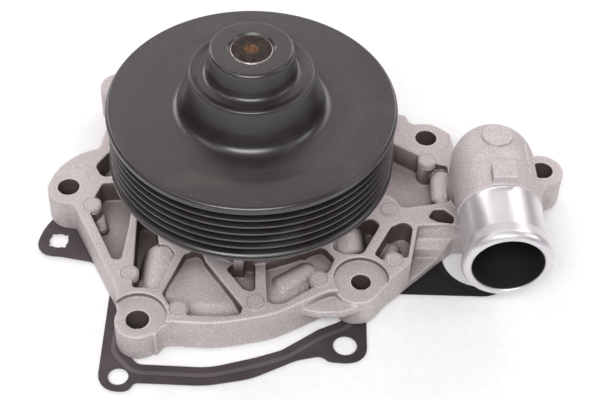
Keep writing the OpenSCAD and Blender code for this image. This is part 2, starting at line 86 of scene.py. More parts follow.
nose_z = pulley_high[2]
disc_z = nose_z - 26.2
shoulder_z = nose_z - 10.4
rim_low_z = pulley_low[2]
pulley_r = pulley_high[0]
shaft_r = 7.96
shaft_top = shaft_high[2]
top_z = nose_z - 87.7  # top of the flange's rim
step_z = top_z - 4.4  # the lower level in front of the pulley
elbow_x = (tube_low[0] + tube_high[0]) / 2
elbow_z = (tube_low[2] + tube_high[2]) / 2
elbow_y = 14.0  # axis of the elbow's upright leg
elbow_r = 16.5
cast_front_y = -12.0  # where the hose tube leaves the casting
bead_r = (tube_high[0] - tube_low[0]) / 2
tube_r = bead_r - 1.2
way_r = 13.5  # bore of the hose tube
tube_end_y = tube_low[1]


# ---- Mesh helpers -----------------------------------------------------------


def arc_points(a, p, b, radius, steps=6):
    """Points of the arc that rounds the corner p between its neighbours a and b."""
    a, p, b = Vector(a[:2]), Vector(p[:2]), Vector(b[:2])
    u, v = (a - p).normalized(), (b - p).normalized()
    half = u.angle(v) / 2
    reach = min(radius / math.tan(half), (a - p).length * 0.49, (b - p).length * 0.49)
    radius = reach * math.tan(half)
    centre = p + (u + v).normalized() * radius / math.sin(half)
    start, end = p + u * reach - centre, p + v * reach - centre
    turn = start.angle_signed(end)
    return [centre + Matrix.Rotation(-turn * i / steps, 2) @ start for i in range(steps + 1)]


def rounded(points):
    """Closed outline through points given as x, y and, where a corner is round, its radius."""
    out = []
    for i, p in enumerate(points):
        if len(p) < 3:
            out.append(Vector(p[:2]))
        else:
            out += arc_points(points[i - 1], p, points[(i + 1) % len(points)], p[2])
    return out


def finish_object(name, mesh, material, body, sharp=32):
    """Puts a mesh in the scene as a piece of the object that rides on a body."""
    mesh.materials.clear()
    mesh.materials.append(material)
    mesh.shade_smooth()
    mesh.set_sharp_from_angle(angle=math.radians(sharp))
    obj = bpy.data.objects.new(name, mesh)
    bpy.context.scene.collection.objects.link(obj)
    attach(obj, body)
    return obj


def mesh_of(name, bm):
    """The mesh of a bmesh, welded and with its faces turned outwards."""
    bmesh.ops.remove_doubles(bm, verts=bm.verts, dist=1e-7)
    bmesh.ops.recalc_face_normals(bm, faces=bm.faces)
    mesh = bpy.data.meshes.new(name)
    bm.to_mesh(mesh)
    bm.free()
    return mesh


def revolve_into(bm, outline, place=Matrix.Identity(4), steps=240):
    """Revolves a closed half outline of (radius, height) points in millimetres about the local Z axis."""
    rings = []
    for r, z in outline:
        if r < 1e-6:
            rings.append([bm.verts.new(place @ Vector((0, 0, z * MM)))] * steps)
        else:
            turns = [2 * math.pi * i / steps for i in range(steps)]
            ring = [Vector((r * math.cos(t), r * math.sin(t), z)) * MM for t in turns]
            rings.append([bm.verts.new(place @ point) for point in ring])
    for low, high in zip(rings, rings[1:] + rings[:1]):
        for i in range(steps):
            j = (i + 1) % steps
            corners = [low[i], low[j], high[j], high[i]]
            corners = [v for k, v in enumerate(corners) if v not in corners[:k]]
            if len(corners) > 2:
                bm.faces.new(corners)


def revolved(name, outline, place=Matrix.Identity(4), steps=240):
    """A mesh revolved about the local Z axis of a place."""
    bm = bmesh.new()
    revolve_into(bm, outline, place, steps)
    return mesh_of(name, bm)


def along_y(x, z):
    """Local Z runs towards -Y, from a point on the X-Z plane."""
    return Matrix.Translation((x * MM, 0, z * MM)) @ Matrix.Rotation(math.pi / 2, 4, "X")


def ridge_into(bm, points, width, height, steps=10):
    """A raised line with a round top along points in millimetres, lower at both ends."""
    points = [Vector(p) for p in points]
    count = len(points)
    rings = []
    for i, p in enumerate(points):
        run = (points[min(i + 1, count - 1)] - points[max(i - 1, 0)]).normalized()
        side = run.cross(Vector((0, 0, 1))).normalized()
        taper = math.sin(math.pi * (i + 0.35) / (count - 0.3)) ** 0.5
        ring = []
        for k in range(steps):
            t = 2 * math.pi * k / steps
            offset = side * (width / 2 * math.cos(t)) + Vector((0, 0, height * taper * math.sin(t)))
            ring.append(bm.verts.new((p + offset) * MM))
        rings.append(ring)
    for low, high in zip(rings, rings[1:]):
        for k in range(steps):
            j = (k + 1) % steps
            bm.faces.new([low[k], low[j], high[j], high[k]])
    bm.faces.new(rings[0][::-1])
    bm.faces.new(rings[-1])


def bend_points(centre, radius, start, end, z, count=14):
    """Points along a flat arc about a centre, between two angles in degrees."""
    angles = [math.radians(start + (end - start) * i / (count - 1)) for i in range(count)]
    return [(centre[0] + radius * math.cos(t), centre[1] + radius * math.sin(t), z) for t in angles]


# ---- Materials --------------------------------------------------------------


class Shader:
    """A Principled material with short calls for the nodes that this object uses."""

    def __init__(self, name, **inputs):
        self.material = bpy.data.materials.new(name)
        self.material.use_nodes = True
        self.tree = self.material.node_tree
        self.shader = self.tree.nodes["Principled BSDF"]
        self.point = self.node("ShaderNodeTexCoord").outputs["Object"]
        self.set(**inputs)

    def node(self, kind, **settings):
        node = self.tree.nodes.new(kind)
        for key, value in settings.items():
            setattr(node, key, value)
        return node

    def link(self, value, socket):
        """Wires an output to a socket, or sets the socket to a constant."""
        if isinstance(value, bpy.types.NodeSocket):
            self.tree.links.new(value, socket)
        elif isinstance(value, tuple) and len(value) == 3 and socket.type == "RGBA":
            socket.default_value = (*value, 1)
        else:
            socket.default_value = value

    def split(self, vector):
        """The X, Y and Z outputs of a vector."""
        node = self.node("ShaderNodeSeparateXYZ")
        self.link(vector, node.inputs["Vector"])
        return node.outputs

    def stretched(self, x, y, z):
        """The position scaled per axis, for grain that runs one way."""
        node = self.node("ShaderNodeMapping")
        self.link(self.point, node.inputs["Vector"])
        node.inputs["Scale"].default_value = (x, y, z)
        return node.outputs["Vector"]

    def noise(self, scale, detail=3.0, roughness=0.5, distortion=0.0, point=None):
        node = self.node("ShaderNodeTexNoise")
        self.link(point or self.point, node.inputs["Vector"])
        node.inputs["Scale"].default_value = scale
        node.inputs["Detail"].default_value = detail
        node.inputs["Roughness"].default_value = roughness
        node.inputs["Distortion"].default_value = distortion
        return node.outputs["Fac"]

    def cells(self, scale):
        node = self.node("ShaderNodeTexVoronoi")
        self.link(self.point, node.inputs["Vector"])
        node.inputs["Scale"].default_value = scale
        return node.outputs["Distance"]

    def spread(self, value, low, high, to_low=0.0, to_high=1.0):
        """Maps low..high to to_low..to_high, with the ends held."""
        node = self.node("ShaderNodeMapRange")
        self.link(value, node.inputs["Value"])
        node.inputs["From Min"].default_value = low
        node.inputs["From Max"].default_value = high
        node.inputs["To Min"].default_value = to_low
        node.inputs["To Max"].default_value = to_high
        return node.outputs["Result"]

    def maths(self, operation, a, b=0.0):
        node = self.node("ShaderNodeMath", operation=operation)
        self.link(a, node.inputs[0])
        self.link(b, node.inputs[1])
        return node.outputs["Value"]

    def blend(self, amount, a, b):
        """Colour a where the amount is 0 and colour b where it is 1."""
        node = self.node("ShaderNodeMix", data_type="RGBA")
        self.link(amount, node.inputs["Factor"])
        self.link(a, node.inputs["A"])
        self.link(b, node.inputs["B"])
        return node.outputs["Result"]

    def shade_in_corners(self, reach_mm, samples):
        """0 in the object's own tight recesses and 1 on its open faces."""
        node = self.node("ShaderNodeAmbientOcclusion", samples=samples, only_local=True)
        node.inputs["Distance"].default_value = reach_mm * MM
        return node.outputs["AO"]

    def axis_distance(self, x_mm=0.0, z_mm=0.0, along="Z"):
        """Distance in millimetres from the Z axis, or from one along Y through a point."""
        away = self.node("ShaderNodeVectorMath", operation="SUBTRACT")
        self.link(self.point, away.inputs[0])
        away.inputs[1].default_value = (x_mm * MM, 0, z_mm * MM)
        flat = self.node("ShaderNodeVectorMath", operation="MULTIPLY")
        self.link(away.outputs["Vector"], flat.inputs[0])
        flat.inputs[1].default_value = (1, 1, 0) if along == "Z" else (1, 0, 1)
        length = self.node("ShaderNodeVectorMath", operation="LENGTH")
        self.link(flat.outputs["Vector"], length.inputs[0])
        return self.maths("DIVIDE", length.outputs["Value"], MM)

    def bump(self, height, depth_mm, strength, under=None):
        node = self.node("ShaderNodeBump")
        self.link(height, node.inputs["Height"])
        node.inputs["Distance"].default_value = depth_mm * MM
        node.inputs["Strength"].default_value = strength
        if under is not None:
            self.link(under, node.inputs["Normal"])
        return node.outputs["Normal"]

    def set(self, **inputs):
        """Gives Principled inputs, named in Python style, a value or a link."""
        for key, value in inputs.items():
            socket = key.replace("_", " ").title().replace("Ior", "IOR")
            self.link(value, self.shader.inputs[socket])
        return self


def cast_aluminium(name, edges=False):
    """Blasted die casting: pale sparkling grain, painted shade in recesses, on sunk floors, on pocket
    walls and under the pulley, and, if asked for, rubbed edges that also carry a painted highlight, with
    painted shade in their creases.
    """
    s = Shader(name, metallic=0.1, specular_tint=(1.0, 0.97, 0.96))
    grain = s.noise(1600, 2.0, 0.7)
    fleck = s.cells(1500)
    flow = s.noise(60, 4.0, 0.6, 0.7)
    fine = s.noise(330, 3.0, 0.65)
    recess = s.shade_in_corners(18, 8)
    tight = s.shade_in_corners(2.5, 4)
    surface = s.node("ShaderNodeNewGeometry").outputs
    upright = s.spread(s.maths("ABSOLUTE", s.split(surface["Normal"])["Z"]), 0.35, 0.75, 1.0, 0.0)
    # Depth below the rim, which sets painted shade on sunk floors.
    sunk = s.spread(s.split(s.point)["Z"], (top_z - 10) * MM, (top_z - 5) * MM, 0.34, 0.0)
    # Painted shadow of the pulley: full near the shaft axis, fading out from 42 to 60 mm.
    pulley_shadow_reach = s.spread(s.axis_distance(), 42, 60, 1.0, 0.25)
    colour = s.blend(s.spread(flow, 0.35, 0.65), (0.525, 0.462, 0.466), (0.465, 0.404, 0.407))
    colour = s.blend(s.spread(grain, 0.52, 0.72), colour, (0.71, 0.68, 0.68))
    colour = s.blend(s.spread(grain, 0.44, 0.30, 0.0, 0.5), colour, (0.33, 0.29, 0.285))
    colour = s.blend(s.spread(fine, 0.58, 0.8, 0.0, 0.3), colour, (0.37, 0.32, 0.305))
    if edges:
        # Convex edges are paler, partly from rubbed wear and partly as a painted highlight; concave
        # creases get painted shade.
        edge = surface["Pointiness"]
        colour = s.blend(s.spread(edge, 0.515, 0.57, 0.0, 0.5), colour, (0.76, 0.73, 0.73))
        colour = s.blend(s.spread(edge, 0.485, 0.43, 0.0, 0.55), colour, (0.20, 0.155, 0.14))
    # Painted shade on sunk floors inside recesses.
    painted_floor_shade = s.maths("MULTIPLY", sunk, s.spread(recess, 0.9, 0.98, 1.0, 0.0))
    # Painted shadow under the pulley, near black where the recesses close in.
    painted_pulley_shadow = s.maths("MULTIPLY", pulley_shadow_reach, s.spread(recess, 0.2, 0.75, 0.97, 0.0))
    # Painted shade on upright pocket walls: dark brown where the walls close in.
    painted_wall_shade = s.maths("MULTIPLY", upright, s.spread(recess, 0.5, 0.86, 0.88, 0.0))
    colour = s.blend(painted_floor_shade, colour, (0.19, 0.155, 0.145))
    colour = s.blend(painted_pulley_shadow, colour, (0.055, 0.037, 0.03))
    colour = s.blend(painted_wall_shade, colour, (0.065, 0.043, 0.034))
    # Painted shade in tight corners.
    colour = s.blend(s.spread(tight, 0.25, 0.75, 0.45, 0.0), colour, (0.17, 0.125, 0.11))
    rough = s.spread(grain, 0.3, 0.75, 0.62, 0.38)
    grit = s.maths("ADD", grain, s.maths("MULTIPLY", fleck, 0.6))
    normal = s.bump(grit, 0.10, 0.5, s.bump(fine, 0.14, 0.45, s.bump(flow, 0.3, 0.4)))
    return s.set(base_color=colour, roughness=rough, normal=normal).material


def turned_aluminium():
    """Satin turned tube: fine rings square to its axis, frosted patches, and painted shade that turns the
    bore near black.
    """
    s = Shader("turned_aluminium")
    rings = s.noise(1, 4.0, 0.7, point=s.stretched(40, 5200, 40))
    frost = s.spread(s.noise(38, 3.0, 0.6, 0.4), 0.42, 0.7)
    scratch = s.noise(1, 2.0, 0.6, point=s.stretched(900, 60, 900))
    spot = s.spread(s.cells(420), 0.05, 0.09, 1.0, 0.0)
    colour = s.blend(frost, (0.70, 0.68, 0.705), (0.62, 0.60, 0.63))
    colour = s.blend(s.maths("MULTIPLY", spot, 0.3), colour, (0.40, 0.38, 0.38))
    # Painted shade in the bore: near-black colour, rougher and less metallic than the outside.
    radius = s.axis_distance(elbow_x, elbow_z, "Y")
    bore = s.spread(radius, way_r + 0.45, way_r + 0.1)
    colour = s.blend(bore, colour, (0.012, 0.011, 0.011))
    rough = s.spread(frost, 0.0, 1.0, 0.30, 0.38)
    rough = s.maths("ADD", rough, s.spread(scratch, 0.6, 0.75, 0.0, 0.1))
    rough = s.maths("ADD", rough, s.maths("MULTIPLY", bore, 0.3))
    metal = s.spread(bore, 0.0, 1.0, 0.6, 0.0)
    normal = s.bump(rings, 0.015, 0.4)
    return s.set(base_color=colour, roughness=rough, metallic=metal, normal=normal).material


def pulley_coating():
    """Dark satin electrocoat on steel: smudged, with tiny pale specks, and in the grooves less shine and
    painted shade that makes them near black.
    """
    s = Shader("pulley_coating")
    mottle = s.noise(60, 4.0, 0.6, 0.5)
    grain = s.noise(1500, 2.0, 0.6)
    specks = s.spread(s.cells(520), 0.05, 0.085, 1.0, 0.0)
    sparse = s.spread(s.noise(170, 1.0), 0.60, 0.64)
    smudge = s.spread(s.noise(30, 3.0, 0.65, 1.2), 0.52, 0.70)
    stain = s.spread(s.noise(44, 4.0, 0.7, 0.9), 0.58, 0.74)
    colour = s.blend(s.spread(mottle, 0.35, 0.65), (0.015, 0.0105, 0.0118), (0.021, 0.016, 0.0172))
    colour = s.blend(s.maths("MULTIPLY", smudge, 0.5), colour, (0.056, 0.053, 0.043))
    colour = s.blend(s.maths("MULTIPLY", stain, 0.6), colour, (0.021, 0.018, 0.0175))
    colour = s.blend(s.spread(grain, 0.62, 0.78, 0.0, 0.35), colour, (0.105, 0.095, 0.095))
    colour = s.blend(s.maths("MULTIPLY", specks, sparse), colour, (0.50, 0.48, 0.46))
    # Painted shade in the belt grooves: near-black colour and lower specular where the part closes in.
    groove = s.shade_in_corners(5, 4)
    gloss = s.spread(groove, 0.35, 0.85, 0.08, 0.9)
    colour = s.blend(s.spread(groove, 0.35, 0.8, 0.85, 0.0), colour, (0.004, 0.0035, 0.0035))
    rough = s.maths("ADD", s.spread(mottle, 0.3, 0.7, 0.30, 0.36), s.maths("MULTIPLY", smudge, 0.07))
    normal = s.bump(grain, 0.025, 0.4, s.bump(mottle, 0.06, 0.3))
    return s.set(base_color=colour, roughness=rough, specular_ior_level=gloss, normal=normal).material


def shaft_steel():
    """Ground bearing steel whose end has gone dark and pitted, with rust round its centre hole."""
    s = Shader("shaft_steel", metallic=0.7)
    radius = s.axis_distance()
    blotch = s.noise(520, 5.0, 0.7, 0.8)
    pits = s.cells(1500)
    grain = s.noise(2100, 3.0, 0.65)
    inner = s.maths("ADD", radius, s.spread(blotch, 0.25, 0.75, -1.4, 1.4))
    rust = s.blend(s.spread(grain, 0.35, 0.65), (0.085, 0.038, 0.018), (0.30, 0.15, 0.075))
    brown = s.blend(s.spread(blotch, 0.42, 0.62), (0.020, 0.015, 0.014), (0.072, 0.050, 0.038))
    brown = s.blend(s.spread(grain, 0.60, 0.72, 0.0, 0.7), brown, (0.22, 0.165, 0.13))
    steel = s.blend(s.spread(grain, 0.4, 0.6), (0.42, 0.37, 0.35), (0.30, 0.26, 0.245))
    face = s.blend(s.spread(inner, 1.5, 3.0), rust, brown)
    colour = s.blend(s.spread(radius, 7.25, 7.4), face, steel)
    rough = s.maths("ADD", s.spread(radius, 7.2, 7.4, 0.55, 0.3), s.spread(blotch, 0.4, 0.7, 0.0, 0.12))
    height = s.maths("ADD", blotch, s.maths("MULTIPLY", pits, 0.7))
    return s.set(base_color=colour, roughness=rough, normal=s.bump(height, 0.2, 0.6)).material


def gasket_coating():
    """Steel sheet in a dark rubber coating, paler on its pressed bead, with painted shade that turns it
    near black to the right.
    """
    s = Shader("gasket_coating", metallic=0.1, specular_ior_level=0.3)
    mottle = s.noise(90, 4.0, 0.6)
    grain = s.noise(1900, 2.0, 0.6)
    place = s.split(s.point)
    on_bead = s.spread(place["Z"], 0.52 * MM, 0.72 * MM)
    # Painted shade: darker from x = 22 mm to near black at 60 mm.
    painted_shade_to_right = s.spread(place["X"], 22 * MM, 60 * MM)
    colour = s.blend(s.spread(mottle, 0.35, 0.65), (0.080, 0.064, 0.071), (0.062, 0.050, 0.056))
    colour = s.blend(s.maths("MULTIPLY", on_bead, 0.5), colour, (0.17, 0.15, 0.155))
    colour = s.blend(s.spread(grain, 0.62, 0.75, 0.0, 0.3), colour, (0.24, 0.22, 0.22))
    colour = s.blend(s.maths("MULTIPLY", painted_shade_to_right, 0.9), colour, (0.010, 0.009, 0.0092))
    rough = s.spread(mottle, 0.3, 0.7, 0.5, 0.64)
    return s.set(base_color=colour, roughness=rough, normal=s.bump(grain, 0.03, 0.4)).material


def plain_metal(name, base, roughness, ring_scale=2600):
    """Machined metal: rings about the shaft axis, tarnish and small marks."""
    s = Shader(name, metallic=1.0)
    rings = s.noise(1, 3.0, 0.6, point=s.stretched(70, 70, ring_scale))
    tarnish = s.noise(120, 4.0, 0.6, 0.5)
    grain = s.noise(1500, 2.0, 0.6)
    colour = s.blend(s.spread(tarnish, 0.4, 0.68), base, tuple(c * 0.66 for c in base))
    colour = s.blend(s.spread(grain, 0.6, 0.75, 0.0, 0.3), colour, tuple(min(1.0, c * 1.2) for c in base))
    rough = s.spread(tarnish, 0.3, 0.7, roughness, roughness + 0.16)
    return s.set(base_color=colour, roughness=rough, normal=s.bump(rings, 0.02, 0.4)).material


def impeller_steel():
    """Pressed stainless sheet with drawing marks and a trace of scale."""
    s = Shader("impeller_steel", metallic=1.0)
    marks = s.noise(1, 3.0, 0.6, point=s.stretched(160, 1500, 900))
    scale = s.noise(150, 4.0, 0.6, 0.4)
    colour = s.blend(s.spread(scale, 0.42, 0.68), (0.50, 0.50, 0.51), (0.30, 0.28, 0.27))
    rough = s.spread(scale, 0.35, 0.7, 0.3, 0.48)
    return s.set(base_color=colour, roughness=rough, normal=s.bump(marks, 0.03, 0.4)).material


def black_rubber():
    """Moulded rubber: matt, with a fine bloom and a soft skin texture."""
    s = Shader("black_rubber", sheen_weight=0.08)
    skin = s.noise(1300, 3.0, 0.6)
    bloom = s.noise(90, 4.0, 0.6, 0.5)
    colour = s.blend(s.spread(bloom, 0.45, 0.7), (0.014, 0.014, 0.015), (0.038, 0.037, 0.036))
    rough = s.spread(bloom, 0.3, 0.7, 0.55, 0.75)
    return s.set(base_color=colour, roughness=rough, normal=s.bump(skin, 0.04, 0.45)).material


def carbon():
    """Pressed carbon: near black with a graphite sheen and small pores."""
    s = Shader("carbon", metallic=0.2)
    pores = s.cells(2200)
    shade = s.noise(260, 4.0, 0.6)
    colour = s.blend(s.spread(shade, 0.4, 0.65), (0.022, 0.022, 0.024), (0.05, 0.05, 0.053))
    rough = s.spread(shade, 0.3, 0.7, 0.3, 0.45)
    return s.set(base_color=colour, roughness=rough, normal=s.bump(pores, 0.02, 0.4)).material


def ceramic():
    """Sintered ceramic: warm white, dense, with faint speckle."""
    s = Shader("ceramic", coat_weight=0.2)
    speckle = s.noise(1100, 3.0, 0.7)
    tone = s.noise(80, 3.0)
    colour = s.blend(s.spread(tone, 0.4, 0.65), (0.78, 0.75, 0.69), (0.70, 0.66, 0.60))
    colour = s.blend(s.spread(speckle, 0.64, 0.74, 0.0, 0.5), colour, (0.42, 0.39, 0.35))
    rough = s.spread(tone, 0.3, 0.7, 0.28, 0.4)
    return s.set(base_color=colour, roughness=rough, normal=s.bump(speckle, 0.01, 0.3)).material


def cage_plastic():
    """Glass-filled nylon: amber, with short pale fibres under the skin."""
    s = Shader("cage_plastic", subsurface_weight=0.05)
    fibres = s.noise(1, 2.0, 0.7, point=s.stretched(500, 3200, 1400))
    tone = s.noise(140, 4.0, 0.6)
    colour = s.blend(s.spread(tone, 0.4, 0.65), (0.52, 0.33, 0.07), (0.42, 0.25, 0.05))
    colour = s.blend(s.spread(fibres, 0.6, 0.72, 0.0, 0.45), colour, (0.72, 0.58, 0.30))
    rough = s.spread(tone, 0.3, 0.7, 0.38, 0.5)
    return s.set(base_color=colour, roughness=rough, normal=s.bump(fibres, 0.02, 0.35)).material


def floor_paper():
    """Matt white paper with a faint glow, which keeps it white round the part."""
    s = Shader("floor_paper", roughness=0.9, specular_ior_level=0.1, emission_strength=0.05)
    fibre = s.noise(300, 3.0)
    colour = s.blend(s.spread(fibre, 0.4, 0.6), (0.86, 0.86, 0.86), (0.88, 0.88, 0.88))
    return s.set(base_color=colour, emission_color=colour).material


finishes = {
    "cast_aluminium": cast_aluminium("cast_aluminium"),
    "rubbed_highlit_casting": cast_aluminium("rubbed_highlit_casting", edges=True),
    "turned_aluminium": turned_aluminium(),
    "bearing_steel": plain_metal("bearing_steel", (0.62, 0.63, 0.65), 0.22),
    "shaft_steel": shaft_steel(),
    "spring_steel": plain_metal("spring_steel", (0.55, 0.55, 0.57), 0.3, 900),
    "impeller_steel": impeller_steel(),
    "pulley_coating": pulley_coating(),
    "gasket_coating": gasket_coating(),
    "brass": plain_metal("brass", (0.70, 0.50, 0.22), 0.26),
    "black_rubber": black_rubber(),
    "carbon": carbon(),
    "ceramic": ceramic(),
    "cage_plastic": cage_plastic(),
}

node_finish = {
    "bearing_outer_ring": "bearing_steel",
    "bearing_front_seal": "black_rubber",
    "bearing_rear_seal": "black_rubber",
    "seal_casing": "brass",
    "seal_bellows": "black_rubber",
    "seal_spring": "spring_steel",
    "seal_spring_plate": "brass",
    "seal_carbon_ring": "carbon",
    "slinger": "bearing_steel",
    "seal_seat_cup": "black_rubber",
    "seal_seat_ring": "ceramic",
    "impeller": "impeller_steel",
    "impeller_hub": "impeller_steel",
    "bearing_balls": "bearing_steel",
    "ball_cage": "cage_plastic",
    "bearing_rollers": "bearing_steel",
    "roller_cage": "cage_plastic",
    "gasket": "gasket_coating",
    "pump_housing": "cast_aluminium",
    "hose_tube": "turned_aluminium",
    "pulley": "pulley_coating",
    "pump_shaft": "shaft_steel",
}

for node_name, finish in node_finish.items():
    node_mesh = nodes[node_name].data
    if not nodes[node_name].material_slots:
        node_mesh.materials.append(finishes[finish])
    for material_slot in nodes[node_name].material_slots:
        material_slot.material = finishes[finish]


# ---- Casting ----------------------------------------------------------------

VOXEL_MM = 0.42
SMOOTHING = 3
DOME_RISE = 0.6  # how far the elbow's crown stands above a true dome
DOME_RUN = 12  # over this length from the hose tube
ELBOW_REACH = 0.45  # a smoothed point within this of the elbow's surface goes back to it
HOLE_REACH = 0.35  # the same for the wall of a bolt hole


def softened(name, bm):
    """The mesh with its edges rounded as a casting's are."""
    mesh = mesh_of(name + "_sharp", bm)
    obj = bpy.data.objects.new(name + "_sharp", mesh)
    bpy.context.scene.collection.objects.link(obj)
    remesh = obj.modifiers.new("fuse", "REMESH")
    remesh.mode = "VOXEL"
    remesh.voxel_size = VOXEL_MM * MM
    smooth = obj.modifiers.new("round", "SMOOTH")
    smooth.factor = 0.5
    smooth.iterations = SMOOTHING
    graph = bpy.context.evaluated_depsgraph_get()
    result = bpy.data.meshes.new_from_object(obj.evaluated_get(graph))
    result.name = name
    bpy.data.objects.remove(obj)
    bpy.data.meshes.remove(mesh)
    return result


def true_up(mesh):
    """Brings the smoothed surface back onto the elbow's cylinders and dome, and onto the bolt holes."""
    points = np.empty(len(mesh.vertices) * 3)
    mesh.vertices.foreach_get("co", points)
    p = points.reshape(-1, 3) / MM

    # From the elbow's axis, which comes in level from the hose tube and turns down at elbow_y.
    away = p - np.array([elbow_x, 0.0, elbow_z])
    away[:, 1] = np.where(p[:, 1] > elbow_y, p[:, 1] - elbow_y, 0.0)
    upright = (p[:, 2] < elbow_z) & (p[:, 1] > 0)
    away[upright] = p[upright] - np.array([elbow_x, elbow_y, 0.0])
    away[upright, 2] = 0.0
    reach = np.linalg.norm(away, axis=1)
    clear_of_flange = p[:, 2] > top_z + 3
    clear_of_socket = p[:, 1] > cast_front_y + 1
    at_gusset = upright & (p[:, 1] < elbow_y - 6)
    near = (np.abs(reach - elbow_r) < ELBOW_REACH) & clear_of_flange & clear_of_socket & ~at_gusset
    p[near] += away[near] * ((elbow_r - reach[near]) / reach[near])[:, None]

    from_axis = np.hypot(p[:, 0] - elbow_x, np.minimum(elbow_y - p[:, 1], 0))
    crown = (from_axis < elbow_r + 1.5) & (p[:, 2] > elbow_z)
    rise = DOME_RISE * np.clip((p[:, 1] - cast_front_y) / DOME_RUN, 0, 1)
    p[crown, 2] += (rise * (p[:, 2] - elbow_z) / elbow_r)[crown]

    for hole in bolt_holes:
        centre = np.array(hole["pos_m"][:2]) / MM
        radius = hole["dims"]["r_mm"]
        out = p[:, :2] - centre
        reach = np.linalg.norm(out, axis=1)
        near = reach < radius + HOLE_REACH
        p[near, :2] = centre + out[near] * (radius / reach[near])[:, None]

    mesh.vertices.foreach_set("co", (p * MM).reshape(-1))
    mesh.update()


def cast_body():
    """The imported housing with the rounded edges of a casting."""
    bm = bmesh.new()
    bm.from_mesh(nodes["pump_housing"].data)
    mesh = softened("cast_body", bm)
    true_up(mesh)
    obj = finish_object("cast_body", mesh, finishes["rubbed_highlit_casting"], "housing", sharp=60)
    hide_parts("pump_housing")


def ejector_discs():
    """Raised round marks of the ejector pins, each with a fine groove just inside its edge."""
    centres = [
        (-64, 6), (-47, -30), (-27.5, -47.6), (1.6, -44.6),
        (26, -33), (55.5, -23.5), (55.5, 3.5), (73, 31),
    ]
    low, top = top_z - 2, top_z + 0.5
    groove = [(3.4, top), (3.25, top - 0.22), (3.1, top)]
    outline = rounded([(0, low), (3.8, low), (3.8, top, 0.12), *groove, (0, top)])
    bm = bmesh.new()
    for x, y in centres:
        revolve_into(bm, outline, Matrix.Translation((x * MM, y * MM, 0)), 72)
    mesh = mesh_of("ejector_discs", bm)
    finish_object("ejector_discs", mesh, finishes["cast_aluminium"], "housing")


def casting_lines():
    """Raised lines left by joints and cracks in the die."""
    bends = [  # centre, radius, from and to in degrees, width, height
        ((-75.5, 19), 9.6, 86, 12, 1.3, 0.55),
        ((-75.5, 19), 12.6, 74, 22, 1.0, 0.35),
        ((-64, 44), 6.4, -35, 40, 0.9, 0.45),
        ((70, 52), 8, 150, 205, 0.9, 0.45),
        ((74, 45), 9.4, -60, 12, 1.0, 0.5),
    ]
    crack = [(13, -35.5), (15.4, -36.4), (17.5, -36.8), (18.6, -34.6), (19, -33), (19.6, -30.4), (20, -28)]
    bm = bmesh.new()
    for centre, radius, start, end, width, height in bends:
        ridge_into(bm, bend_points(centre, radius, start, end, top_z), width, height)
    ridge_into(bm, [(x, y, step_z) for x, y in crack], 0.5, 0.3)
    mesh = mesh_of("casting_lines", bm)
    finish_object("casting_lines", mesh, finishes["cast_aluminium"], "housing")


def elbow_details():
    """The seam over the elbow's dome and the flat-topped stub that stands on it."""
    inner, outer, half = elbow_r - 0.5, elbow_r + 0.25, 0.5
    seam_y = 2
    seam = rounded([(inner, -half), (outer, -half, 0.25), (outer, half, 0.25), (inner, half)])
    bm = bmesh.new()
    revolve_into(bm, seam, along_y(elbow_x, elbow_z) @ Matrix.Translation((0, 0, -seam_y * MM)), 180)
    for v in bm.verts:
        v.co.z += DOME_RISE * MM * max(0.0, v.co.z / MM - elbow_z) / elbow_r
    off_the_crown = [v for v in bm.verts if v.co.z < (elbow_z + elbow_r * 0.72) * MM]
    bmesh.ops.delete(bm, geom=off_the_crown, context="VERTS")
    bmesh.ops.holes_fill(bm, edges=[e for e in bm.edges if e.is_boundary])
    stub_r, stub_top = 5.95, elbow_z + elbow_r + 1.1
    stub_low = stub_top - 2.5
    stub = rounded([(0, stub_low), (stub_r, stub_low), (stub_r, stub_top, 0.25), (0, stub_top)])
    revolve_into(bm, stub, Matrix.Translation((elbow_x * MM, elbow_y * MM, 0)), 96)
    mesh = mesh_of("elbow_details", bm)
    finish_object("elbow_details", mesh, finishes["cast_aluminium"], "housing")


# ---- Turned parts -----------------------------------------------------------


def hose_tube():
    """Turned tube whose end flares into a rounded bead, seated in the casting."""
    start, end = -cast_front_y, -tube_end_y
    body_r, socket_r = tube_r - 0.12, 15
    socket = [(way_r, start - 6), (socket_r, start - 6), (socket_r, start)]
    lip = [(tube_r, start, 0.4), (tube_r, start + 0.7, 0.1), (body_r, start + 0.85, 0.1)]
    flare = [(body_r, end - 8.2, 1.5), (bead_r - 0.05, end - 3.2, 2.5), (bead_r, end - 1.9, 1.2)]
    mouth = [
        (bead_r - 0.7, end - 0.6, 1.0), (15.9, end, 0.5), (way_r + 0.7, end, 0.4), (way_r, end - 0.7, 0.3),
    ]
    mesh = revolved("hose_tube_turned", rounded(socket + lip + flare + mouth), along_y(elbow_x, elbow_z))
    obj = finish_object("hose_tube_turned", mesh, finishes["turned_aluminium"], "housing")
    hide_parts("hose_tube")


